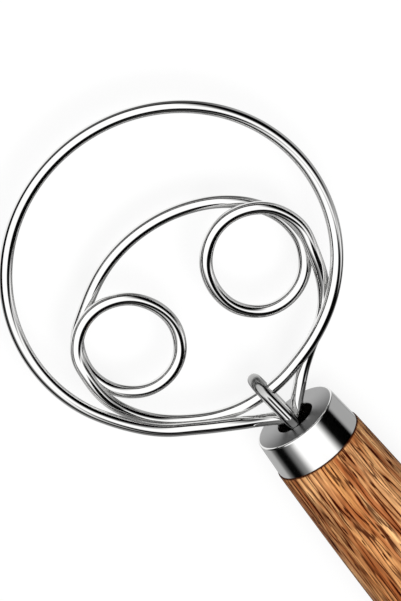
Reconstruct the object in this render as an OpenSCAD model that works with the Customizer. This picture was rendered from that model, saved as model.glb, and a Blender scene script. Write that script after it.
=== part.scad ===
// Dough whisk: one steel wire bent into a ring with two eyes inside it, both
// ends potted in a turned wooden handle behind a steel ferrule. The head lies
// in the XY plane, the handle runs along X, the hanging hole is the origin.

/* [Wire head] */
// Diameter of the wire
wire_d = 3.5; // [2.8:0.1:4.2]
// Outer diameter of the big ring
ring_od = 92; // [80:1:115]
// Mean diameter of the left eye, on the middle of its wire
left_eye_d = 27.5; // [25:0.2:30]
// Mean diameter of the right eye, on the middle of its wire
right_eye_d = 28.1; // [25:0.2:30]
// Free gap left between wires where they cross
cross_gap = 0.5; // [0.45:0.05:1]

/* [Keeper and ferrule] */
// Clearance of the keeper around the ring wire
keeper_clear = 0.15; // [0.15:0.05:0.4]
// Lean of the keeper towards the left eye, in degrees
keeper_lean = 4.3; // [1:0.1:6]
// Diameter of the ferrule at its flat face
ferrule_face_d = 24.2; // [20:0.2:30]
// Diameter of the ferrule where it meets the wood
ferrule_foot_d = 25.8; // [21:0.2:32]
// Length of the ferrule
ferrule_l = 10.4; // [8:0.2:18]
// Wall thickness of the ferrule
ferrule_wall = 0.8; // [0.5:0.1:1.4]
// Radius of the rolled edge round the ferrule face
ferrule_edge_r = 0.5; // [0.3:0.1:1]
// Radius of the lip round the ferrule hole
hole_lip_r = 0.3; // [0.2:0.05:0.4]
// Clearance of the wires inside the ferrule hole
hole_clear = 0.05; // [0.05:0.05:0.5]

/* [Handle] */
// Length of the wood behind the ferrule
wood_l = 232; // [170:1:280]
// Diameter of the wood at the ferrule
shoulder_d = 26.4; // [22:0.2:34]
// Radius of the wood's edge at the ferrule
shoulder_r = 0.8; // [0.4:0.1:1.5]
// Clearance of the tenon inside the ferrule
tenon_clear = 0.1; // [0.05:0.05:0.4]
// Chamfer on the end of the tenon
tenon_chamfer = 0.5; // [0.3:0.1:1]
// Diameter of the handle at its belly
belly_d = 31.5; // [26:0.5:38]
// Distance of the belly from the ferrule
belly_in = 75; // [60:1:80]
// Diameter of the handle at its slimmest
waist_d = 21; // [17:0.5:28]
// Distance of the slimmest place from the rounded end
waist_in = 56; // [45:1:70]
// Diameter of the rounded end
knob_d = 25; // [20:0.5:34]
// Length of the rounded end
knob_round = 12; // [9:0.5:14]
// Diameter of the hanging hole
hang_hole_d = 6; // [4:0.5:10]
// Distance of the hanging hole from the rounded end
hang_hole_in = 15; // [10:1:25]
// Depth of the bore for the wire ends, behind the ferrule face
bore_depth = 26; // [18:1:40]
// Distance of the resin behind the ferrule face
resin_in = 5; // [3:0.5:10]
// Clearance of the resin round the wires
resin_clear = 0.02; // [0.01:0.01:0.1]
// Resin left between the wire tips and the bottom of the bore
tip_gap = 1.5; // [1:0.5:4]

/* [Hidden] */
$fn = 72;

wire_r = wire_d / 2;
// ring radius on the middle of the wire, and the scale of the route's points
ring_r = (ring_od - wire_d) / 2;
k = ring_r / 44.25;
// half the height between two crossing wires
lift = (wire_d + cross_gap) / 2;
// the keeper leaves the bore here, leans over at the face and bends round the ring wire
keeper_x = 11.9 * k;
keeper_y = 0.28 * wire_d;
keeper_r = wire_d + keeper_clear;
knee_r = 3.4 * wire_d;
knee_x = -0.15 * wire_d;
// where the two wire ends lie in the bore, between the keeper legs
bore_out = [0.6 * wire_d, 0.05 * wire_d];
bore_home = bore_out - (wire_d + cross_gap) * [cos(16), sin(16)];
// the ferrule hole takes the keeper legs and both wire ends
hole_r = norm([keeper_y, keeper_r]) + wire_r + hole_clear;
// depth of the wire tips behind the ferrule face
tip_x = bore_depth - tip_gap;
// hanging hole to ferrule face
face_x = wood_l + ferrule_l - hang_hole_in;

function unit(v) = v / norm(v);
function clamp01(u) = max(0, min(1, u));
function ease(u) = let(c = clamp01(u)) c * c * (3 - 2 * c);

// route of the wire, from the ferrule face, before it is made smooth
// Heights are in units of lift, half the distance between two crossing wires.
// from the bore out to the ring, lifted over the end of the ring
run_out = [
    [2, 3, 0.05], [5, 6.5, 0.25], [9.5, 12.5, 0.9],
    [15.5, 21, 1.15], [22.5, 30, 1.15]];
// the ring, once round
ring_run = [for (a = [126, 105, 70, 35, 0, -35, -70, -100, -125])
    [55.8 + 44.25 * cos(a), 44.25 * sin(a),
     1.1 * ease((a - 40) / 84) + 0.85 * ease((-a - 70) / 75)]];
// through the keeper, under the start of the ring, up into the left eye
run_in = [
    [21, -27, 0.9], [16, -18.5, 0.85], [13, -10.5, 0.5], [11, -2, 0], [11, 3.5, 0],
    [13, 15, -0.9], [17.5, 22.5, -0.95], [23.5, 29, -0.9], [31, 33.5, -0.45], [38, 35.5, 0.3]];
// over the top, from eye to eye
arc_run = [
    [61.5, 23, -1.85], [66.5, 12.5, -1.8], [68, 0, -1.7],
    [65.5, -12, -1.65], [60.5, -21, -1.65], [53.5, -27.5, -1.65]];
// from the right eye, under the ring, back to the bore
run_home = [
    [32, -31, 0], [27.5, -29.5, -0.5], [23, -27.5, -1], [20, -25.5, -1.2],
    [17, -22.5, -1.2], [12.5, -15, -1.15], [9, -10, -1], [5, -5.5, -0.75], [2, -2.5, -0.6]];

// an eye winds clockwise by one turn as t goes from 0 to 1
function left_eye(t) = let(
    a = 92 - 360 * t,
    r = left_eye_d / 2 + k * (0.5 - t + 0.75 * cos(2 * (a - 15))))
    [45.2 * k + r * cos(a), 22.1 * k + r * sin(a), lift * (0.6 - 2 * t)];
function right_eye(t) = let(
    a = -36 - 360 * t,
    r = right_eye_d / 2 + k * (2 * t - 1 + 0.75 * cos(2 * (a + 7))))
    [41.7 * k + r * cos(a), -18.7 * k + r * sin(a),
     lift * (2.05 * ease((t - 0.15) / 0.85) - 2 * max(0, t - 1) - 1.65)];
function scaled(run) = [for (p = run) [p.x * k, p.y * k, p.z * lift]];

// both ends leave the bore along X
route = concat(
    [[-tip_x, bore_out.x, bore_out.y], [-1.5 * k, bore_out.x, bore_out.y]],
    scaled(run_out), scaled(ring_run), scaled(run_in),
    [for (i = [0:10]) left_eye(i / 9)],
    scaled(arc_run),
    [for (i = [1:10]) right_eye(i / 9)],
    scaled(run_home),
    [[-1.5 * k, bore_home.x, bore_home.y], [-tip_x, bore_home.x, bore_home.y]]);
last = len(route) - 1;

// direction at a point: that of the circle through it and its neighbours
function lead(a, b, c) = unit((b - a) / ((b - a) * (b - a)) + (c - b) / ((c - b) * (c - b)));
way = [for (i = [0:last])
    i < 2 ? [1, 0, 0] : i > last - 2 ? [-1, 0, 0] : lead(route[i - 1], route[i], route[i + 1])];

// each span is two arcs that meet smoothly at its joint
function reach(v, a, b) = let(q = 2 * (1 - a * b), p = v * (a + b))
    q < 1e-9 ? (v * v) / (2 * p) : (sqrt(p * p + q * (v * v)) - p) / q;
function joint(p, a, q, b) = let(d = reach(q - p, a, b)) (p + a * d + q - b * d) / 2;
function end_way(p, a, q) = let(c = unit(q - p)) 2 * (a * c) * c - a;
arcs = [for (i = [0:last - 1]) let(
    p = route[i], q = route[i + 1], m = joint(p, way[i], q, way[i + 1]))
    each [[p, way[i], m], [m, end_way(p, way[i], m), q]]];

// points of an arc from p along a to q, about one step apart, q left out
function turn(p, a, q) = 2 * acos(min(1, a * unit(q - p)));
function arc_points(p, a, q, step) = let(
    c = q - p, f = turn(p, a, q), s = c - (c * a) * a,
    flat = f < 0.2 || norm(s) < 0.001,
    u = flat ? a : unit(s), r = flat ? 0 : (c * c) / (2 * (c * u)),
    long = flat ? norm(c) : r * f * PI / 180,
    n = max(1, round(long / step)))
    [for (i = [0:n - 1]) flat
        ? [p + c * i / n, unit(c)]
        : let(g = f * i / n)
            [p + a * r * sin(g) + u * r * (1 - cos(g)), a * cos(g) + u * sin(g)]];
function path(step) = concat(
    [for (s = arcs) each arc_points(s[0], s[1], s[2], step)],
    [[route[last], way[last]]]);

// least free gap between stretches of wire that lie apart along it
probe = [for (q = path(1)) q[0]];
apart = ceil(3 * wire_d);
least_gap = min([for (i = [0:len(probe) - 1]) for (j = [i + apart:1:len(probe) - 1])
    norm(probe[i] - probe[j])]) - wire_d;
wire_len = len(probe) - 1;
echo(least_gap = least_gap, wire_len = wire_len);

// round tube along a path of [point, direction], closed at both ends; no direction is along across
module tube(p, r, sides, across = [0, 0, 1]) {
    n = len(p);
    rings = [for (q = p) let(
        side = unit(cross(across, q[1])), up = cross(q[1], side))
        each [for (j = [0:sides - 1]) let(g = 360 * j / sides)
            q[0] + r * (side * cos(g) + up * sin(g))]];
    walls = [for (i = [0:n - 2]) for (j = [0:sides - 1]) let(
        a = i * sides + j, b = i * sides + (j + 1) % sides)
        each [[a, b, b + sides], [a, b + sides, a + sides]]];
    start_cap = [for (j = [1:sides - 2]) [0, j + 1, j]];
    z = (n - 1) * sides;
    end_cap = [for (j = [1:sides - 2]) [z, z + j, z + j + 1]];
    polyhedron(points = rings, faces = concat(walls, start_cap, end_cap), convexity = 10);
}

module whisk_wire() {
    color([0.78, 0.79, 0.8])
        translate([face_x, 0, 0])
            tube(path(2.6 * k), wire_r, 12);
}

// U of wire across the head: two legs with a slight knee, and a half turn round the ring wire
module keeper() {
    ahead = [cos(keeper_lean), sin(keeper_lean), 0];
    leg_l = (keeper_x - knee_x - knee_r * ahead.y) / ahead.x;
    knee = [for (i = [0:3]) let(g = keeper_lean * i / 3)
        [[knee_x + knee_r * sin(g), keeper_y + knee_r * (1 - cos(g)), 0], [cos(g), sin(g), 0]]];
    bend_at = knee[3][0] + leg_l * ahead;
    up = [0, 0, keeper_r];
    legs = concat([[[-tip_x, keeper_y, 0], [1, 0, 0]]], knee);
    bend = [for (g = [-90:10:90])
        [bend_at + keeper_r * cos(g) * ahead + sin(g) * up, [0, 0, cos(g)] - sin(g) * ahead]];
    u_path = concat(
        [for (q = legs) [q[0] - up, q[1]]], bend,
        [for (i = [4:-1:0]) [legs[i][0] + up, -legs[i][1]]]);
    color([0.74, 0.75, 0.77])
        translate([face_x, 0, 0])
            tube(u_path, wire_r, 20, [-ahead.y, ahead.x, 0]);
}

// cap drawn from sheet: flat face with a round hole, flared skirt
module ferrule() {
    face_r = ferrule_face_d / 2;
    foot_r = ferrule_foot_d / 2;
    e = ferrule_edge_r;
    inner_e = max(0.1, e - ferrule_wall);
    w = ferrule_wall;
    outside = [for (g = [90:-15:0]) [face_r - e + e * cos(g), ferrule_l - e + e * sin(g)]];
    inside = [for (g = [0:30:90])
        [face_r - w - inner_e + inner_e * cos(g), ferrule_l - w - inner_e + inner_e * sin(g)]];
    lip = [for (g = [180:-30:90])
        [hole_r + hole_lip_r * (1 + cos(g)), ferrule_l - hole_lip_r * (1 - sin(g))]];
    color([0.62, 0.63, 0.65])
        translate([face_x - ferrule_l, 0, 0])
            rotate([0, 90, 0])
                rotate_extrude()
                    polygon(concat([[hole_r, ferrule_l - w]], lip, outside,
                        [[foot_r, 0], [foot_r - w, 0]], inside));
}

// radius of the wood, s measured back from the ferrule: it swells from the
// ferrule to the belly, then runs in soft curves to the waist and the knob
function swell(a, b, u) = a + (b - a) * sin(90 * clamp01(u));
function blend(a, b, u) = a + (b - a) * (1 - cos(180 * clamp01(u))) / 2;
waist_s = wood_l - waist_in;
knob_s = wood_l - knob_round;
function wood_r(s) = s < belly_in ? swell(shoulder_d, belly_d, s / belly_in) / 2
    : s < waist_s ? blend(belly_d, waist_d, (s - belly_in) / (waist_s - belly_in)) / 2
    : blend(waist_d, knob_d, (s - waist_s) / (knob_s - waist_s)) / 2;

// turned handle with tenon, bore for the wire ends and hanging hole
module handle() {
    // the tenon stops short of the ferrule face and fills the flared skirt
    tenon_l = ferrule_l - ferrule_wall - 3 * tenon_clear;
    tenon_foot = ferrule_foot_d / 2 - ferrule_wall - tenon_clear;
    flare = (ferrule_foot_d - ferrule_face_d) / 2 / ferrule_l;
    tenon_tip = tenon_foot - flare * tenon_l;
    tenon = [
        [0, tenon_l], [tenon_tip - tenon_chamfer, tenon_l],
        [tenon_tip, tenon_l - tenon_chamfer], [tenon_foot, 0]];
    e = shoulder_r;
    shoulder = [for (g = [0:30:90]) [wood_r(e) - e + e * sin(g), -e + e * cos(g)]];
    grip = [for (s = [4:4:knob_s - 2]) [wood_r(s), -s]];
    knob = [for (g = [0:10:80]) [knob_d / 2 * cos(g), -knob_s - knob_round * sin(g)]];
    color([0.72, 0.47, 0.26])
        difference() {
            translate([face_x - ferrule_l, 0, 0])
                rotate([0, 90, 0])
                    rotate_extrude()
                        polygon(concat(tenon, shoulder, grip, knob, [[0, -wood_l]]));
            translate([face_x - bore_depth, 0, 0])
                rotate([0, 90, 0])
                    cylinder(r = hole_r, h = bore_depth);
            cylinder(d = hang_hole_d, h = 2 * knob_d, center = true);
        }
}

// hardened resin that fills the bore round the four wires
module resin_plug() {
    back = face_x - tip_x;
    color([0.2, 0.17, 0.13])
        difference() {
            translate([face_x - bore_depth, 0, 0])
                rotate([0, 90, 0])
                    cylinder(r = hole_r, h = bore_depth - resin_in);
            for (p = [[keeper_y, keeper_r], [keeper_y, -keeper_r], bore_out, bore_home])
                translate([back, p.x, p.y])
                    rotate([0, 90, 0])
                        cylinder(r = wire_r + resin_clear, h = tip_x);
        }
}

handle();
ferrule();
whisk_wire();
keeper();
resin_plug();
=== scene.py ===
import bpy
import math
import numpy as np
from mathutils import Matrix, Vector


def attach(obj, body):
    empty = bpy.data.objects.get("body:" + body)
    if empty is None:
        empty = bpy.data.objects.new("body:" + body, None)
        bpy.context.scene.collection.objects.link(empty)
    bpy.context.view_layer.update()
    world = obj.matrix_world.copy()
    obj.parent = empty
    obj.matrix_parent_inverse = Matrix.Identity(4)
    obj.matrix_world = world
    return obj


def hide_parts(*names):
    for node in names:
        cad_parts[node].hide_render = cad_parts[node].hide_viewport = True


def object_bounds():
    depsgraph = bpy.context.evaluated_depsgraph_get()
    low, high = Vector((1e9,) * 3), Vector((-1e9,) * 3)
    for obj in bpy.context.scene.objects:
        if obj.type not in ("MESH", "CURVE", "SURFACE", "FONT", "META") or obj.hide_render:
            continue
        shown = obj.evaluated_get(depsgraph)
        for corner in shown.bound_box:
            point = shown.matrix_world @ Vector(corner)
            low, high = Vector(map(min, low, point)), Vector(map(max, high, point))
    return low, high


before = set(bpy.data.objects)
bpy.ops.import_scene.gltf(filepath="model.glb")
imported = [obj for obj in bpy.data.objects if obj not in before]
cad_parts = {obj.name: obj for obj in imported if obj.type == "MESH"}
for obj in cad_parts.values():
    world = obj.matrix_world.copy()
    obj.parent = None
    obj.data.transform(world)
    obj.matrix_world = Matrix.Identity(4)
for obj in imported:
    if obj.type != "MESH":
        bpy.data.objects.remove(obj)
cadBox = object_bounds()
mm = 0.001

# the camera comes first: it stands where the photograph was taken from
view = {
    "place": (0.724494, -0.063377, 1.114176),
    "right": (-0.588260, -0.784768, 0.195166),
    "up": (0.715613, -0.617579, -0.326333),
    "back": (0.376626, -0.052306, 0.924887),
    "lens": 273.145, "sensor": 36,
    "clip": (0.05, 20),
}


def makeCamera(v):
    data = bpy.data.cameras.new("camera")
    data.sensor_width, data.lens = v["sensor"], v["lens"]
    data.clip_start, data.clip_end = v["clip"]
    camera = bpy.data.objects.new("camera", data)
    turn = Matrix([v["right"], v["up"], v["back"]]).transposed().to_4x4()
    camera.matrix_world = Matrix.Translation(v["place"]) @ turn
    bpy.context.collection.objects.link(camera)
    bpy.context.scene.camera = camera
    bpy.context.scene.view_settings.view_transform = "Standard"


makeCamera(view)
print("camera set")


class Nodes:
    # short ways to write shader nodes: most calls return the socket to use next

    def __init__(self, tree):
        self.tree = tree
        tree.nodes.clear()

    def add(self, kind, **values):
        node = self.tree.nodes.new(kind)
        for name, value in values.items():
            setattr(node, name, value)
        return node

    def put(self, socket, value):
        if isinstance(value, bpy.types.NodeSocket):
            self.tree.links.new(value, socket)
        elif isinstance(value, tuple) and socket.type == "RGBA":
            socket.default_value = (*value, 1)
        else:
            socket.default_value = value

    def fill(self, node, *values):
        # the values go to the node's inputs in their order
        for socket, value in zip(node.inputs, values):
            self.put(socket, value)
        return node

    def math(self, operation, *values):
        return self.fill(self.add("ShaderNodeMath", operation=operation), *values).outputs[0]

    def plus(self, a, b):
        return self.math("ADD", a, b)

    def minus(self, a, b):
        return self.math("SUBTRACT", a, b)

    def times(self, a, b):
        return self.math("MULTIPLY", a, b)

    def over(self, a, b):
        return self.math("DIVIDE", a, b)

    def scaled(self, vector, factor):
        node = self.add("ShaderNodeVectorMath", operation="MULTIPLY")
        return self.fill(node, vector, (factor, factor, factor)).outputs[0]

    def join(self, x, y, z):
        return self.fill(self.add("ShaderNodeCombineXYZ"), x, y, z).outputs[0]

    def split(self, vector):
        return self.fill(self.add("ShaderNodeSeparateXYZ"), vector).outputs

    def dot(self, a, b):
        node = self.add("ShaderNodeVectorMath", operation="DOT_PRODUCT")
        return self.fill(node, a, b).outputs["Value"]

    def inMm(self):
        # the place on the piece, from its own origin
        return self.scaled(self.add("ShaderNodeTexCoord").outputs["Object"], 1 / mm)

    def ramp(self, value, *stops):
        # each stop is a place and a grey tone
        node = self.add("ShaderNodeValToRGB")
        points = node.color_ramp.elements
        while len(points) < len(stops):
            points.new(1.0)
        for point, (at, tone) in zip(points, stops):
            point.position = at
            point.color = (tone, tone, tone, 1)
        return self.fill(node, value).outputs[0]

    def noise(self, where, detail=2.0, roughness=0.5):
        node = self.add("ShaderNodeTexNoise")
        self.put(node.inputs["Vector"], where)
        node.inputs["Scale"].default_value = 1
        node.inputs["Detail"].default_value = detail
        node.inputs["Roughness"].default_value = roughness
        return node.outputs[0]

    def mix(self, share, a, b, blend="MIX"):
        node = self.add("ShaderNodeMix", data_type="RGBA", blend_type=blend)
        for i, value in ((0, share), (6, a), (7, b)):   # inputs 6 and 7 are its colours
            self.put(node.inputs[i], value)
        return node.outputs[2]

    def spread(self, value, low, high, outLow=0.0, outHigh=1.0, smooth=False):
        # moves the range from low to high to the one from outLow to outHigh
        node = self.add("ShaderNodeMapRange")
        if smooth:
            node.interpolation_type = "SMOOTHSTEP"
        return self.fill(node, value, low, high, outLow, outHigh).outputs[0]

    def bump(self, height, distance):
        node = self.add("ShaderNodeBump")
        node.inputs["Distance"].default_value = distance
        self.put(node.inputs["Height"], height)
        return node.outputs[0]

    def surface(self, **values):
        shader = self.add("ShaderNodeBsdfPrincipled")
        for name, value in values.items():
            self.put(shader.inputs[name.replace("_", " ")], value)
        self.fill(self.add("ShaderNodeOutputMaterial"), shader.outputs[0])


def newMaterial(name):
    material = bpy.data.materials.new(name)
    material.use_nodes = True
    return material, Nodes(material.node_tree)


crispFrom = 35   # degrees: edges that turn by more stay crisp


def shadeSmooth(mesh, degrees):
    mesh.polygons.foreach_set("use_smooth", [True] * len(mesh.polygons))
    mesh.set_sharp_from_angle(angle=math.radians(degrees))


def newObject(name, points, faces, materials, uvs=None, faceMaterial=None):
    mesh = bpy.data.meshes.new(name)
    mesh.from_pydata([tuple(p) for p in points], [], faces)
    for material in materials:
        mesh.materials.append(material)
    if uvs is not None:
        layer = mesh.uv_layers.new(name="along")
        layer.uv.foreach_set("vector", np.asarray(uvs, dtype=np.float32).ravel())
    if faceMaterial is not None:
        mesh.polygons.foreach_set("material_index", faceMaterial)
    shadeSmooth(mesh, crispFrom)
    mesh.validate()
    mesh.update()
    thing = bpy.data.objects.new(name, mesh)
    bpy.context.collection.objects.link(thing)
    return thing


def wayAlong(points):
    # how far along the path each of its points lies
    return np.concatenate([[0], np.cumsum(np.linalg.norm(np.diff(points, axis=0), axis=1))])


def sweepTube(name, centres, directions, radius, sides, reference, material):
    # a round tube through the centres; the map along holds turns round it and metres along it,
    # and its seam lies on the side that is turned away from the reference
    side = np.cross(reference, directions)
    side /= np.linalg.norm(side, axis=1)[:, None]
    over = np.cross(directions, side)
    turn = np.arange(sides) * 2 * math.pi / sides - math.pi / 2
    c, s = np.cos(turn)[None, :, None], np.sin(turn)[None, :, None]
    ring = side[:, None] * c + over[:, None] * s
    points = (centres[:, None] + radius * ring).reshape(-1, 3)
    length = wayAlong(centres)
    count = len(centres)
    faces, uvs = [], []
    for i in range(count - 1):
        for j in range(sides):
            a, b = i * sides + j, i * sides + (j + 1) % sides
            faces.append((a, b, b + sides, a + sides))
            u0, u1, v0, v1 = j / sides, (j + 1) / sides, length[i], length[i + 1]
            uvs += [(u0, v0), (u1, v0), (u1, v1), (u0, v1)]
    # a flat face closes each end
    faces.append(tuple(range(sides - 1, -1, -1)))
    faces.append(tuple((count - 1) * sides + j for j in range(sides)))
    uvs += [(0.5, 0)] * sides + [(0.5, length[-1])] * sides
    return newObject(name, points, faces, [material], uvs)


def turnProfile(name, profile, steps, materials, zones=None, closed=False):
    # turns (x, radius) points round the X axis; a radius of 0 makes a pole; zones gives the
    # number of the material of each stretch of the profile
    turns = np.arange(steps) * 2 * math.pi / steps
    points, index = [], []
    for x, r in profile:
        if r == 0:
            index.append([len(points)] * steps)
            points.append((x, 0, 0))
        else:
            index.append(list(range(len(points), len(points) + steps)))
            points += [(x, r * math.cos(a), r * math.sin(a)) for a in turns]
    run = wayAlong(np.array(profile))
    last = len(profile) - 1
    pairs = [(i, i + 1) for i in range(last)] + ([(last, 0)] if closed else [])
    faces, uvs, kinds = [], [], []
    for i, n in pairs:
        for j in range(steps):
            m = (j + 1) % steps
            corners = [(index[i][j], j, i), (index[n][j], j, n),
                       (index[n][m], j + 1, n), (index[i][m], j + 1, i)]
            # two corners at a pole are one point
            kept = [c for k, c in enumerate(corners) if c[0] not in [q[0] for q in corners[:k]]]
            faces.append(tuple(c[0] for c in kept))
            uvs += [(c[1] / steps, run[c[2]]) for c in kept]
            kinds.append(zones[i] if zones else 0)
    return newObject(name, points, faces, materials, uvs, kinds)


# sizes that the pieces share, in mm, as in the CAD; the ferrule's flat face stands at faceX
sizes = {
    "wire": 3.5,
    "crossGap": 0.5,
    "keeperOff": 0.28,       # wire widths between the keeper's middle and the handle's
    "keeperClear": 0.15,
    "holeClear": 0.05,
    "tipDepth": 24.5,
    "boreDepth": 26.0,
    "woodLength": 232.0,
    "ferruleLength": 10.4,
    "hangHoleIn": 15.0,
}
faceX = sizes["woodLength"] + sizes["ferruleLength"] - sizes["hangHoleIn"]
wireR = sizes["wire"] / 2
keeperY = sizes["keeperOff"] * sizes["wire"]
keeperR = sizes["wire"] + sizes["keeperClear"]
holeR = math.hypot(keeperY, keeperR) + wireR + sizes["holeClear"]


def ease(u):
    c = min(1, max(0, u))
    return c * c * (3 - 2 * c)


# the route of the wire, in mm from the middle of the ferrule's face, as in the CAD; heights
# are in half crossings, a crossing being as high as the wire and the gap above it
whiskWire = {
    # where the first end lies in the bore, in wire widths; the second end lies beside it, at
    # so many degrees, and both run straight to so many mm from the face
    "bore": {"out": (0.6, 0.05), "lean": 16, "straightTo": -1.5},
    "out": [(2, 3, 0.05), (5, 6.5, 0.25), (9.5, 12.5, 0.9), (15.5, 21, 1.15), (22.5, 30, 1.15)],
    "ring": {
        "middle": (55.8, 0), "radius": 44.25,
        "turns": (126, 105, 70, 35, 0, -35, -70, -100, -125),
        # how high it rises at its two ends, from how many degrees, and over how many
        "firstRise": (1.1, 40, 84), "lastRise": (0.85, 70, 75),
    },
    "in": [(21, -27, 0.9), (16, -18.5, 0.85), (13, -10.5, 0.5), (11, -2, 0), (11, 3.5, 0),
           (13, 15, -0.9), (17.5, 22.5, -0.95), (23.5, 29, -0.9), (31, 33.5, -0.45),
           (38, 35.5, 0.3)],
    # an eye winds down by a crossing each turn; widen is in mm, at its start and for each turn
    "leftEye": {
        "middle": (45.2, 22.1), "across": 27.5, "start": 92, "widen": (0.5, -1),
        "longTo": 15, "height": 0.6, "windsFrom": 0, "climb": 0, "climbFrom": 0,
    },
    "arc": [(61.5, 23, -1.85), (66.5, 12.5, -1.8), (68, 0, -1.7),
            (65.5, -12, -1.65), (60.5, -21, -1.65), (53.5, -27.5, -1.65)],
    # this one climbs first, and winds down only past its first turn
    "rightEye": {
        "middle": (41.7, -18.7), "across": 28.1, "start": -36, "widen": (-1, 2),
        "longTo": -7, "height": -1.65, "windsFrom": 1, "climb": 2.05, "climbFrom": 0.15,
    },
    "home": [(32, -31, 0), (27.5, -29.5, -0.5), (23, -27.5, -1), (20, -25.5, -1.2),
             (17, -22.5, -1.2), (12.5, -15, -1.15), (9, -10, -1), (5, -5.5, -0.75),
             (2, -2.5, -0.6)],
    "eyePlaces": 11, "placesPerTurn": 9,
    "eyeOval": 0.75,       # mm that an eye is wider towards longTo, and narrower across it
    "flat": {"turn": 0.003, "off": 0.001},   # flatter arcs are drawn straight: radians, mm
    "softening": 1.0,      # mm over which neighbouring arcs melt into each other
    "softeningReach": 4,   # and how many times that the softening looks each way
    "fineStep": 0.1,       # mm between the places that are softened
    "step": 0.8,           # mm between rings of the mesh
    "sides": 32,
}


def wireRoute(w):
    lift = (sizes["wire"] + sizes["crossGap"]) / 2

    def raised(run):
        return [(x, y, z * lift) for x, y, z in run]

    def around(middle, r, degrees, z):
        a = math.radians(degrees)
        return (middle[0] + r * math.cos(a), middle[1] + r * math.sin(a), z * lift)

    def ringPlace(g, a):
        (first, a0, over0), (final, a1, over1) = g["firstRise"], g["lastRise"]
        z = first * ease((a - a0) / over0) + final * ease((-a - a1) / over1)
        return around(g["middle"], g["radius"], a, z)

    def eye(e):
        places = []
        for i in range(w["eyePlaces"]):
            t = i / w["placesPerTurn"]
            a = e["start"] - 360 * t
            oval = w["eyeOval"] * math.cos(math.radians(2 * (a - e["longTo"])))
            r = e["across"] / 2 + e["widen"][0] + e["widen"][1] * t + oval
            climb = e["climb"] * ease((t - e["climbFrom"]) / (1 - e["climbFrom"]))
            z = climb - 2 * max(0, t - e["windsFrom"]) + e["height"]
            places.append(around(e["middle"], r, a, z))
        return places

    # both ends come straight out of the bore, one beside the other
    bore = w["bore"]
    lean = math.radians(bore["lean"])
    out = np.array(bore["out"]) * sizes["wire"]
    home = out - 2 * lift * np.array([math.cos(lean), math.sin(lean)])
    tip, mouth = -sizes["tipDepth"], bore["straightTo"]
    ring = [ringPlace(w["ring"], a) for a in w["ring"]["turns"]]
    return np.array(
        [(tip, *out), (mouth, *out)] + raised(w["out"]) + ring + raised(w["in"])
        + eye(w["leftEye"]) + raised(w["arc"]) + eye(w["rightEye"])[1:] + raised(w["home"])
        + [(mouth, *home), (tip, *home)])


def unit(v):
    return v / np.linalg.norm(v)


def evenly(points, gap):
    s = wayAlong(points)
    at = np.linspace(0, s[-1], int(round(s[-1] / gap)) + 1)
    return np.stack([np.interp(at, s, points[:, i]) for i in range(3)], 1)


def directionsOf(points):
    ways = np.gradient(points, axis=0)
    return ways / np.linalg.norm(ways, axis=1)[:, None]


def smoothPath(route, w):
    # two arcs between neighbours, as in the CAD, then a light softening of their joints
    gap, flat = w["fineStep"], w["flat"]
    nearlyNone = 1e-9
    last = len(route) - 1
    ways = []
    for i, p in enumerate(route):
        if i < 2 or i > last - 2:
            ways.append(np.array([1.0 if i < 2 else -1.0, 0, 0]))
        else:
            a, c = p - route[i - 1], route[i + 1] - p
            ways.append(unit(a / (a @ a) + c / (c @ c)))

    def arc(p, a, q):
        # leaves p along a, and stops short of q
        c = q - p
        turn = 2 * math.acos(min(1, a @ unit(c)))
        s = c - (c @ a) * a
        count = max(2, int(np.linalg.norm(c) / gap))
        if turn < flat["turn"] or np.linalg.norm(s) < flat["off"]:
            return [p + c * i / count for i in range(count)]
        u = unit(s)
        r = (c @ c) / (2 * (c @ u))
        turns = [turn * i / count for i in range(count)]
        return [p + a * r * math.sin(g) + u * r * (1 - math.cos(g)) for g in turns]

    fine = []
    for i in range(last):
        p, q, a, b = route[i], route[i + 1], ways[i], ways[i + 1]
        v, bend = q - p, 2 * (1 - a @ b)
        ahead = v @ (a + b)
        if bend < nearlyNone:
            d = (v @ v) / (2 * ahead)
        else:
            d = (math.sqrt(ahead ** 2 + bend * (v @ v)) - ahead) / bend
        m = (p + a * d + q - b * d) / 2
        c = unit(m - p)
        fine += arc(p, a, m) + arc(m, 2 * (a @ c) * c - a, q)
    fine.append(route[last])

    even = evenly(np.array(fine), gap)
    reach = int(w["softeningReach"] * w["softening"] / gap)
    weight = np.exp(-0.5 * (np.arange(-reach, reach + 1) * gap / w["softening"]) ** 2)
    weight /= weight.sum()
    before = even[0] + (even[0] - even[1]) * np.arange(reach, 0, -1)[:, None]
    after = even[-1] + (even[-1] - even[-2]) * np.arange(1, reach + 1)[:, None]
    padded = np.concatenate([before, even, after])
    soft = np.stack([np.convolve(padded[:, i], weight, "valid") for i in range(3)], 1)
    points = evenly(soft, w["step"])
    points[0], points[-1] = route[0], route[last]
    return points, directionsOf(points)


steelLook = {
    # lines is how fine the lines are, round the piece and for each mm along it: they run along
    # the drawn wire and round the ferrule, which has a polished side and a satin end face
    "drawn": {"colour": (0.86, 0.858, 0.852), "rough": (0.02, 0.05), "lines": (26.0, 0.12)},
    "polished": {"colour": (0.86, 0.858, 0.852), "rough": (0.06, 0.12), "lines": (2.0, 14.0)},
    # painted shade: the satin end face's colour is painted far darker than the steel's own
    "satinAndShaded": {"colour": (0.26, 0.26, 0.26), "rough": (0.28, 0.36), "lines": (2.0, 14.0)},
    "lineDepth": 0.001,        # mm
    "lineDetail": (3.0, 0.6),  # of the noise, and its roughness
    "cloud": (0.8, 0.06),      # broad unevenness, given as the lines are
    "cloudDark": 0.92,         # tone of its dark parts
    # the part of the noise that is stretched over the tones and over the roughness
    "cloudRange": (0.3, 0.7), "roughRange": (0.35, 0.65),
}


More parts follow.
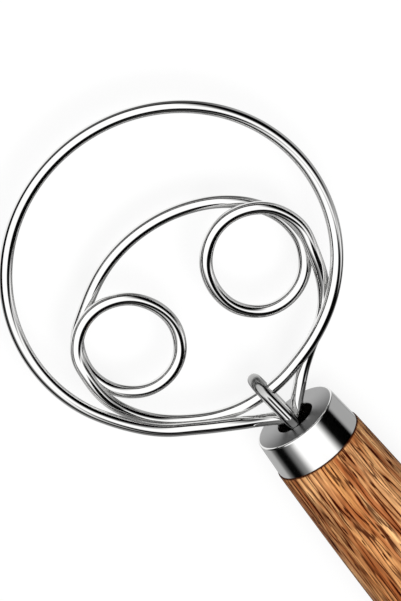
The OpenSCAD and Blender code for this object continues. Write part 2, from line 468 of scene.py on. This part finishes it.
def steelMaterial(name, finish, bendRoughAndPaintedGrey=None, paintedShade=None):
    # the patterns lie on the map called along; a bend can be made rougher and painted grey as
    # painted shade, and the face painted lighter below and darker upwards as painted shade
    look = steelLook
    colour, rough, lines = (look[finish][part] for part in ("colour", "rough", "lines"))
    material, n = newMaterial(name)
    uv = n.split(n.add("ShaderNodeUVMap", uv_map="along").outputs[0])
    turn = n.times(uv[0], 2 * math.pi)
    c, s = n.math("COSINE", turn), n.math("SINE", turn)
    length = n.times(uv[1], 1 / mm)

    def pattern(across, along):
        return n.join(n.times(c, across), n.times(s, across), n.times(length, along))

    scratches = n.noise(pattern(*lines), *look["lineDetail"])
    cloud = n.noise(pattern(*look["cloud"]))
    mean = n.times(n.plus(scratches, cloud), 0.5)
    roughness = n.spread(mean, *look["roughRange"], *rough)
    dark = tuple(look["cloudDark"] * v for v in colour)
    tint = n.mix(n.spread(cloud, *look["cloudRange"]), dark, colour)
    # painted shade: the bend's colour is painted a darker grey, and it is also made rougher
    if bendRoughAndPaintedGrey:
        far = n.math("ABSOLUTE", n.minus(length, bendRoughAndPaintedGrey["at"]))
        near = n.spread(far, bendRoughAndPaintedGrey["from"], bendRoughAndPaintedGrey["full"], smooth=True)
        tint = n.mix(near, tint, bendRoughAndPaintedGrey["colour"])
        roughness = n.plus(roughness, n.times(near, bendRoughAndPaintedGrey["rough"]))
    # painted shade: the colour is painted lighter low down and darker towards the top
    if paintedShade:
        paintedShadeTone = n.spread(n.split(n.inMm())[2], *paintedShade["from"], *paintedShade["to"], smooth=True)
        tint = n.mix(1.0, tint, n.join(paintedShadeTone, paintedShadeTone, paintedShadeTone), blend="MULTIPLY")
    n.surface(
        Metallic=1.0,
        Base_Color=tint,
        Roughness=roughness,
        Normal=n.bump(scratches, look["lineDepth"] * mm))
    return material


def buildWire(w):
    centres, ways = smoothPath(wireRoute(w), w)
    centres = (centres + (faceX, 0, 0)) * mm
    steel = steelMaterial("wireSteel", "drawn")
    piece = sweepTube(
        "whisk_wire_bent", centres, ways, wireR * mm, w["sides"], (0, 0, 1), steel)
    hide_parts("whisk_wire")
    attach(piece, "root")


buildWire(whiskWire)
print("wire bent")

keeper = {
    "reach": 11.9, "lean": 4.3,   # mm from the face to the bend, degrees towards the left eye
    # the legs lean over at a knee just behind the face; its sizes are in wire widths
    "kneeBack": 0.15, "kneeR": 3.4, "kneePlaces": 4,
    "step": 0.6, "sides": 32,
    # the bend is made rougher, and its colour is painted darker grey as painted shade: mm of wire
    # from its middle, to where it fades and where it is full, its grey, and how much rougher it
    # is
    "bendRoughAndPaintedGrey": {"from": 8.0, "full": 3.2, "colour": (0.40, 0.40, 0.395), "rough": 0.20},
}


def buildKeeper(k):
    wire, step, lean = sizes["wire"], k["step"], math.radians(k["lean"])
    kneeX, kneeR = -k["kneeBack"] * wire, k["kneeR"] * wire
    ahead = np.array([math.cos(lean), math.sin(lean)])
    turns = np.linspace(0, lean, k["kneePlaces"])
    knee = [(kneeX + kneeR * math.sin(g), keeperY + kneeR * (1 - math.cos(g))) for g in turns]
    rest = (k["reach"] - knee[-1][0]) / ahead[0]
    leg = [(x, keeperY) for x in np.arange(-sizes["tipDepth"], kneeX - step / 2, step)] + knee
    leg += [tuple(knee[-1] + ahead * t) for t in np.arange(step, rest - step / 2, step)]
    centre = knee[-1] + ahead * rest
    bend = np.radians(np.linspace(-90, 90, int(math.pi * keeperR / step) + 1))
    path = [(x, y, -keeperR) for x, y in leg]
    path += [(*(centre + ahead * keeperR * math.cos(a)), keeperR * math.sin(a)) for a in bend]
    path += [(x, y, keeperR) for x, y in leg[::-1]]
    path = np.array(path)
    centres = (path + (faceX, 0, 0)) * mm
    steel = steelMaterial("keeperSteel", "drawn", {**k["bendRoughAndPaintedGrey"], "at": wayAlong(path)[-1] / 2})
    piece = sweepTube(
        "keeper_bent", centres, directionsOf(path), wireR * mm, k["sides"], (0, 1, 0), steel)
    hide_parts("keeper")
    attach(piece, "root")


buildKeeper(keeper)
print("keeper bent")

ferrule = {
    "faceD": 24.2, "footD": 25.8, "wall": 0.8,
    "edge": 0.5, "innerEdge": 0.1, "lip": 0.3,   # radii: rolled edge, inside it, and at the hole
    "rimOut": 0.15, "rimIn": 0.1,                # how far the foot's rim is broken
    "lipPlaces": 7, "facePlaces": 9, "edgePlaces": 13, "sidePlaces": 9, "innerPlaces": 5,
    "steps": 192,
    # painted shade: the face's colour is painted lighter below and darker towards its top: two
    # heights in mm, and the tones there
    "paintedShade": {"from": (-5.0, 10.5), "to": (1.40, 0.33)},
}


def buildFerrule(f):
    length, w, e, lip = sizes["ferruleLength"], f["wall"], f["edge"], f["lip"]
    faceR, footR, inner = f["faceD"] / 2, f["footD"] / 2, max(f["innerEdge"], e - w)
    onFace, onSide = 0, 1
    profile, zones = [], []

    def add(zone, *points):
        profile.extend(points)
        zones.extend([zone] * len(points))

    def corner(x, r, size, start, end, count):
        for a in np.radians(np.linspace(start, end, count)):
            yield (x + size * math.sin(a), r + size * math.cos(a))

    # from the hole over the face, down the side and back up inside
    lipR, sideEnd = holeR + lip, length - e
    across = np.linspace(lipR, faceR - e, f["facePlaces"])[1:-1]
    down = np.linspace(sideEnd, f["rimOut"], f["sidePlaces"])[1:]
    add(onFace, (length - w, holeR))
    add(onFace, *corner(length - lip, lipR, lip, 180, 90, f["lipPlaces"]))
    add(onFace, *[(length, r) for r in across])
    add(onSide, *corner(sideEnd, faceR - e, e, 90, 0, f["edgePlaces"]))
    add(onSide, *[(x, faceR + (footR - faceR) * (1 - x / sideEnd)) for x in down])
    add(onSide, (0, footR - f["rimOut"]), (0, footR - w + f["rimIn"]), (f["rimIn"], footR - w))
    add(onSide, *corner(length - w - inner, faceR - w - inner, inner, 0, 90, f["innerPlaces"]))
    x0 = faceX - length
    places = [((x0 + x) * mm, r * mm) for x, r in profile]
    face = steelMaterial("ferruleFace", "satinAndShaded", paintedShade=f["paintedShade"])
    side = steelMaterial("ferruleSide", "polished")
    piece = turnProfile("ferrule_cap", places, f["steps"], [face, side], zones, closed=True)
    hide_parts("ferrule")
    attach(piece, "root")


buildFerrule(ferrule)
print("ferrule turned")

handle = {
    "shoulderD": 26.4, "shoulderEdge": 0.4,
    "bellyD": 31.5, "bellyIn": 75.0,
    "waistD": 21.0, "waistIn": 56.0,
    "knobD": 25.0, "knobRound": 12.0,
    "tenonClear": 0.1, "tenonChamfer": 0.5, "tenonShort": 3,   # short by so many clearances
    "hangHole": 6.0, "holeFlare": 0.7,
    "edgePlaces": 7, "knobPlaces": 19,
    "bodyFrom": 2.0, "bodyStep": 1.5, "bodyGap": 0.5,   # mm along the profile, between the two
    "steps": 128, "holeSteps": 96,
    "crispFrom": 30,   # degrees
}

oakLook = {
    "light": (0.900, 0.500, 0.220),
    "middle": (0.640, 0.290, 0.098),
    "red": (0.310, 0.080, 0.020),
    "pore": (0.040, 0.003, 0.000),
    "ringWidth": 4.2,         # mm between growth rings
    "pith": (-46.0, -34.0),   # mm, where the middle of the tree lay
    "ringLean": 0.045,        # mm that the rings move out for each mm along the handle
    "sway": (26.0, 2.0),      # mm: how often and how far the grain waves from side to side
    # patterns of the grain: how long and how wide they are in mm, and a shift that keeps
    # them apart
    "ringWobble": (60.0, 12.0, 0.0), "ringWobbleBy": 12.0,   # mm
    "patch": (80.0, 7.0, 3.0),
    "fibre": (16.0, 0.50, 0.0),
    "band": (44.0, 2.4, 9.0),
    "gate": (18.0, 1.8, 21.0),
    "streak": (60.0, 1.9, 5.0),
    "fine": (50.0, 1.1, 14.0),
    "poreBend": (30.0, 6.0, 5.0), "poreBendBy": 2.5,         # mm
    # the part of the noise that is stretched over the whole pattern
    "patchRange": (0.38, 0.58), "bandRange": (0.48, 0.62), "gateRange": (0.44, 0.56),
    # each is a place and a tone: through a growth ring, and from dark to light fibres
    "earlyTones": ((0.0, 1.0), (0.22, 0.8), (0.50, 0.1), (0.85, 0.0), (1.0, 1.0)),
    "fibreTones": ((0.34, 0.64), (0.62, 1.30)),
    # how far from the noise's middle value a line ends, and the share of that where it is full
    "streakWidth": 0.060, "haloWidth": 0.150, "fineWidth": 0.055, "lineCore": 0.4,
    "fineBesides": 0.1,        # share of the fine lines that stays beside a streak
    "poreSize": (6.0, 0.80),   # mm, how long and how wide the cell of a pore is
    "poreEdge": (0.18, 0.36),  # where a pore fades out in its cell
    "poresLeftOut": (0.80, 0.45),   # share of the cells, in late and in early wood
    # how much of its colour each thing gives the wood
    "earlyShare": 0.40, "bandShare": 0.85, "haloShare": 0.70, "fineShare": 0.80,
    "rough": (0.45, 0.75),     # of the wood and of its dark lines
    "gloss": 0.05,
    "fibreDepth": 0.25,        # as a share of the pores'
    "poreDepth": 0.10,         # mm
    "seamShade": (0.10, 0.45),      # mm of wood beside the ferrule painted darker, as painted shade in the seam
    "seamShadeShare": 0.9,
}


def oakMaterial(look):
    material, n = newMaterial("oiledOak")
    x, y, z = n.split(n.inMm())

    def centred(value):
        return n.minus(value, 0.5)

    # the grain waves a little along the handle
    swayLength, swayBy = look["sway"]
    wave = n.noise(n.join(n.over(x, swayLength), 0.0, 0.0), 1.0)
    y = n.plus(y, n.times(centred(wave), swayBy))

    def grain(part):
        long, wide, shift = look[part]
        return n.join(n.plus(n.over(x, long), shift), n.over(y, wide), n.over(z, wide))

    def lines(part, width):
        # thin lines where a stretched noise crosses its middle value
        away = n.math("ABSOLUTE", centred(n.noise(grain(part), 1.0, 0.55)))
        return n.spread(away, look["lineCore"] * width, width, 1.0, 0.0, smooth=True)

    # growth rings round a pith outside the handle, wavy and slightly aslant
    wobble = n.times(centred(n.noise(grain("ringWobble"))), look["ringWobbleBy"])
    dy, dz = n.minus(y, look["pith"][0]), n.minus(z, look["pith"][1])
    far = n.math("SQRT", n.plus(n.times(dy, dy), n.times(dz, dz)))
    far = n.plus(n.plus(far, wobble), n.times(x, look["ringLean"]))
    ring = n.math("FRACT", n.over(far, look["ringWidth"]))
    early = n.ramp(ring, *look["earlyTones"])

    # colour: broad patches, red-brown bands of early wood and fine fibres
    patch = n.spread(n.noise(grain("patch")), *look["patchRange"])
    fibre = n.noise(grain("fibre"), 3.0, 0.6)
    band = n.spread(n.noise(grain("band"), 3.0, 0.6), *look["bandRange"])
    base = n.mix(patch, look["light"], look["middle"])
    base = n.mix(n.times(early, look["earlyShare"]), base, look["red"])
    base = n.mix(n.times(band, look["bandShare"]), base, look["red"])
    base = n.mix(1.0, base, n.ramp(fibre, *look["fibreTones"]), blend="MULTIPLY")

    # long dark streaks in a red halo, which come and go, and fine ones where they are gone
    gate = n.spread(n.noise(grain("gate")), *look["gateRange"])
    streak = n.times(lines("streak", look["streakWidth"]), gate)
    halo = n.times(lines("streak", look["haloWidth"]), gate)
    base = n.mix(n.times(halo, look["haloShare"]), base, look["red"])
    besides = n.minus(1 + look["fineBesides"], gate)
    fine = n.times(lines("fine", look["fineWidth"]), besides)
    streak = n.math("MAXIMUM", streak, n.times(fine, look["fineShare"]))

    # open pores: long thin cells, most of them in the early wood
    cells = n.add("ShaderNodeTexVoronoi")
    bend = n.times(n.noise(grain("poreBend"), 1.0), look["poreBendBy"])
    long, wide = look["poreSize"]
    across = n.over(n.plus(y, bend), wide), n.over(n.plus(z, bend), wide)
    n.put(cells.inputs["Vector"], n.join(n.over(x, long), *across))
    cells.inputs["Scale"].default_value = 1
    pick = n.split(cells.outputs["Color"])[0]
    kept = n.math("GREATER_THAN", pick, n.spread(early, 0.0, 1.0, *look["poresLeftOut"]))
    pore = n.times(n.spread(cells.outputs["Distance"], *look["poreEdge"], 1.0, 0.0), kept)
    dark = n.math("MAXIMUM", pore, streak)
    colour = n.mix(dark, base, look["pore"])
    # painted shade: the wood next to the ferrule is painted darker, where the seam's shade falls
    foot = faceX - sizes["ferruleLength"]
    seamShade = n.spread(x, foot - look["seamShade"][1], foot - look["seamShade"][0])
    colour = n.mix(n.times(seamShade, look["seamShadeShare"]), colour, look["pore"])
    height = n.minus(n.times(fibre, look["fibreDepth"]), dark)
    n.surface(
        Base_Color=colour,
        Specular_IOR_Level=look["gloss"],
        Roughness=n.spread(dark, 0.0, 1.0, *look["rough"]),
        Normal=n.bump(height, look["poreDepth"] * mm))
    return material


# the potting resin's own near black, also painted over the bore's wall as painted shade
resinAndBoreShadeLook = {
    "colour": (0.014, 0.010, 0.008), "edge": (0.006, 0.005, 0.004),
    "rough": (0.30, 0.5), "roughRange": (0.3, 0.7),   # over this part of the noise
    "depth": 0.15,   # mm
}


def resinAndShadeMaterial(name, look):
    material, n = newMaterial(name)
    cloud = n.noise(n.inMm(), 3.0)
    n.surface(
        Base_Color=n.mix(cloud, look["colour"], look["edge"]),
        Roughness=n.spread(cloud, *look["roughRange"], *look["rough"]),
        Normal=n.bump(cloud, look["depth"] * mm))
    return material


def woodRadius(h, s):
    # s is measured back from the ferrule, in mm
    waist, knob = sizes["woodLength"] - h["waistIn"], sizes["woodLength"] - h["knobRound"]

    def blend(a, b, u):
        return a + (b - a) * (1 - math.cos(math.pi * u)) / 2

    if s < h["bellyIn"]:
        swell = math.sin(math.pi / 2 * s / h["bellyIn"])
        return (h["shoulderD"] + (h["bellyD"] - h["shoulderD"]) * swell) / 2
    if s < waist:
        return blend(h["bellyD"], h["waistD"], (s - h["bellyIn"]) / (waist - h["bellyIn"])) / 2
    return blend(h["waistD"], h["knobD"], (s - waist) / (knob - waist)) / 2


def drillHole(piece, h, material):
    # the hanging hole, with its edges broken on both sides
    r, top, flare = h["hangHole"] / 2, h["knobD"] / 2, h["holeFlare"]
    drill = [(2 * top, 0), (2 * top, r + top + flare), (top - flare, r)]
    drill += [(-x, v) for x, v in drill[::-1]]
    cutter = turnProfile(
        "drill", [(x * mm, v * mm) for x, v in drill], h["holeSteps"], [material])
    cutter.rotation_euler = (0, math.pi / 2, 0)
    bpy.context.view_layer.update()
    cut = piece.modifiers.new("hangingHole", "BOOLEAN")
    cut.object, cut.operation, cut.solver = cutter, "DIFFERENCE", "EXACT"
    bpy.context.view_layer.update()
    drilled = piece.evaluated_get(bpy.context.evaluated_depsgraph_get())
    made = bpy.data.meshes.new_from_object(drilled)
    piece.modifiers.clear()
    piece.data = made
    shadeSmooth(made, h["crispFrom"])
    bpy.data.objects.remove(cutter)


def buildHandle(h):
    f, length = ferrule, sizes["woodLength"]
    seat = faceX - sizes["ferruleLength"]
    tenon = sizes["ferruleLength"] - f["wall"] - h["tenonShort"] * h["tenonClear"]
    foot = f["footD"] / 2 - f["wall"] - h["tenonClear"]
    tip = foot - (f["footD"] - f["faceD"]) / 2 / sizes["ferruleLength"] * tenon
    e, chamfer, bottom = h["shoulderEdge"], h["tenonChamfer"], faceX - sizes["boreDepth"]
    # the bore from its bottom, the tenon, the shoulder, the body and the knob
    profile = [(bottom, 0), (bottom, holeR), (seat + tenon, holeR)]
    profile += [(seat + tenon, tip - chamfer), (seat + tenon - chamfer, tip), (seat, foot)]
    for a in np.radians(np.linspace(0, 90, h["edgePlaces"])):
        profile.append((seat - e + e * math.cos(a), woodRadius(h, e) - e + e * math.sin(a)))
    knob = length - h["knobRound"]
    for s in np.arange(h["bodyFrom"], knob - h["bodyGap"], h["bodyStep"]):
        profile.append((seat - s, woodRadius(h, s)))
    for a in np.radians(np.linspace(0, 90, h["knobPlaces"])[:-1]):
        profile.append((seat - knob - h["knobRound"] * math.sin(a), h["knobD"] / 2 * math.cos(a)))
    profile.append((seat - length, 0))
    oak = oakMaterial(oakLook)
    bore = resinAndShadeMaterial("boreWallPaintedShade", resinAndBoreShadeLook)   # the bore's wall is painted near black as painted shade, in the resin's look
    shadedStretches = 3   # stretches: the bore's bottom and wall, and the end of the tenon
    zones = [1] * shadedStretches + [0] * (len(profile) - shadedStretches)
    places = [(x * mm, r * mm) for x, r in profile]
    piece = turnProfile("handle_turned", places, h["steps"], [oak, bore], zones)
    drillHole(piece, h, oak)
    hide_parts("handle")
    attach(piece, "root")


buildHandle(handle)
print("handle turned")


def dressResin(look):
    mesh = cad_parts["resin_plug"].data
    mesh.materials.clear()
    mesh.materials.append(resinAndShadeMaterial("pottingResin", look))


dressResin(resinAndBoreShadeLook)
print("resin dressed")

studio = {
    "ambient": (0.05, 0.70),   # soft light from the sides and from above
    "lampPower": 20.5,         # W
    "lampSize": 1.0,           # m
    "lampHeight": 1.6,         # m
    "floorDrop": 0.05,         # mm below the belly
    "floorSize": 6.0,          # m
    "floorColour": (0.22, 0.22, 0.22),   # as it lights the whisk
    "floorSeen": (0.93, 0.93, 0.93),     # as the camera sees it
    "floorWhite": 0.86,        # share of plain white in what the camera sees of the table
    "floorCloud": {"perMetre": 90.0, "share": 0.02, "colour": (0.9, 0.9, 0.9)},
    "darkest": 0.002,          # what the steel reflects where no card lies
    # the cards are laid over that in turn: a tone, then the directions towards which it fades
    # in, each with the cosines at which it begins and is full
    "cards": [
        (0.10, ((0.55, -0.21, -0.81), 0.41, 0.58)),
        (0.42, ((0, -0.97, -0.24), 0.86, 0.98), ((0, 0, -1), -0.02, 0.12)),
        (1.05, ((0.25, 0.15, -0.96), 0.60, 0.78)),
        (0.25, ((-0.76, 0.36, -0.54), 0.62, 0.82)),
        (1.25, ((0.21, 0.08, 0.97), 0.45, 0.53), ((0.7, 0, -0.71), -0.93, -0.87)),
        (0.22, ((-0.62, 0.78, 0.02), 0.62, 0.84), ((0.66, -0.37, 0.65), -0.42, -0.16)),
        (1.15, ((-0.46, -0.87, 0.16), 0.78, 0.90), ((0.1, -0.27, 0.96), 0.05, 0.28)),
        (0.00, ((-0.08, -0.93, 0.36), 0.72, 0.94)),
        (0.44, ((-0.33, -0.8, -0.5), 0.80, 0.93)),
        (0.50, ((-0.35, 0.58, -0.74), 0.86, 0.97)),
    ],
}


def buildWorld(s):
    world = bpy.data.worlds.new("studio")
    bpy.context.scene.world = world
    world.use_nodes = True
    n = Nodes(world.node_tree)
    rays = n.add("ShaderNodeLightPath").outputs
    way = n.add("ShaderNodeTexCoord").outputs["Generated"]
    tone = s["darkest"]
    for value, *limits in s["cards"]:
        share = 1.0
        for axis, low, high in limits:
            share = n.times(n.spread(n.dot(way, axis), low, high, smooth=True), share)
        tone = n.plus(n.times(tone, n.minus(1.0, share)), n.times(share, value))

    def sky(strength):
        return n.fill(n.add("ShaderNodeBackground"), (1.0, 1.0, 1.0), strength).outputs[0]

    def pick(share, a, b):
        return n.fill(n.add("ShaderNodeMixShader"), share, a, b).outputs[0]

    soft = sky(n.spread(n.split(way)[2], 0.0, 1.0, *s["ambient"]))
    lit = pick(rays["Is Glossy Ray"], soft, sky(tone))
    seen = n.math("MAXIMUM", rays["Is Camera Ray"], rays["Is Transmission Ray"])
    n.fill(n.add("ShaderNodeOutputWorld"), pick(seen, lit, sky(1.0)))


def tableMaterial(s):
    material, n = newMaterial("paleTable")
    cloud = s["floorCloud"]
    place = n.add("ShaderNodeNewGeometry").outputs["Position"]
    rays = n.add("ShaderNodeLightPath").outputs
    grain = n.times(n.noise(n.scaled(place, cloud["perMetre"])), cloud["share"])
    tint = n.mix(rays["Is Camera Ray"], s["floorColour"], s["floorSeen"])
    plain = n.fill(n.add("ShaderNodeBsdfDiffuse"), n.mix(grain, tint, cloud["colour"]))
    white = n.add("ShaderNodeEmission")
    share = n.times(rays["Is Camera Ray"], s["floorWhite"])
    both = n.fill(n.add("ShaderNodeMixShader"), share, plain.outputs[0], white.outputs[0])
    n.fill(n.add("ShaderNodeOutputMaterial"), both.outputs[0])
    return material


def buildTable(s, low, middle):
    half, z = s["floorSize"] / 2, low.z - s["floorDrop"] * mm
    ends = ((-1, -1), (1, -1), (1, 1), (-1, 1))
    corners = [(middle.x + a * half, middle.y + b * half, z) for a, b in ends]
    floor = newObject("table", corners, [(0, 1, 2, 3)], [tableMaterial(s)])
    floor.visible_glossy = False   # the cards in the world stand for it in reflections


def hangLamp(s, middle):
    lamp = bpy.data.lights.new("overhead", "AREA")
    lamp.shape, lamp.size, lamp.energy = "DISK", s["lampSize"], s["lampPower"]
    holder = bpy.data.objects.new("overhead", lamp)
    holder.location = (middle.x, middle.y, s["lampHeight"])
    holder.visible_glossy = False
    bpy.context.collection.objects.link(holder)


def buildStudio(s):
    low, high = cadBox
    middle = (low + high) / 2
    buildWorld(s)
    buildTable(s, low, middle)
    hangLamp(s, middle)


buildStudio(studio)
print("studio lit")
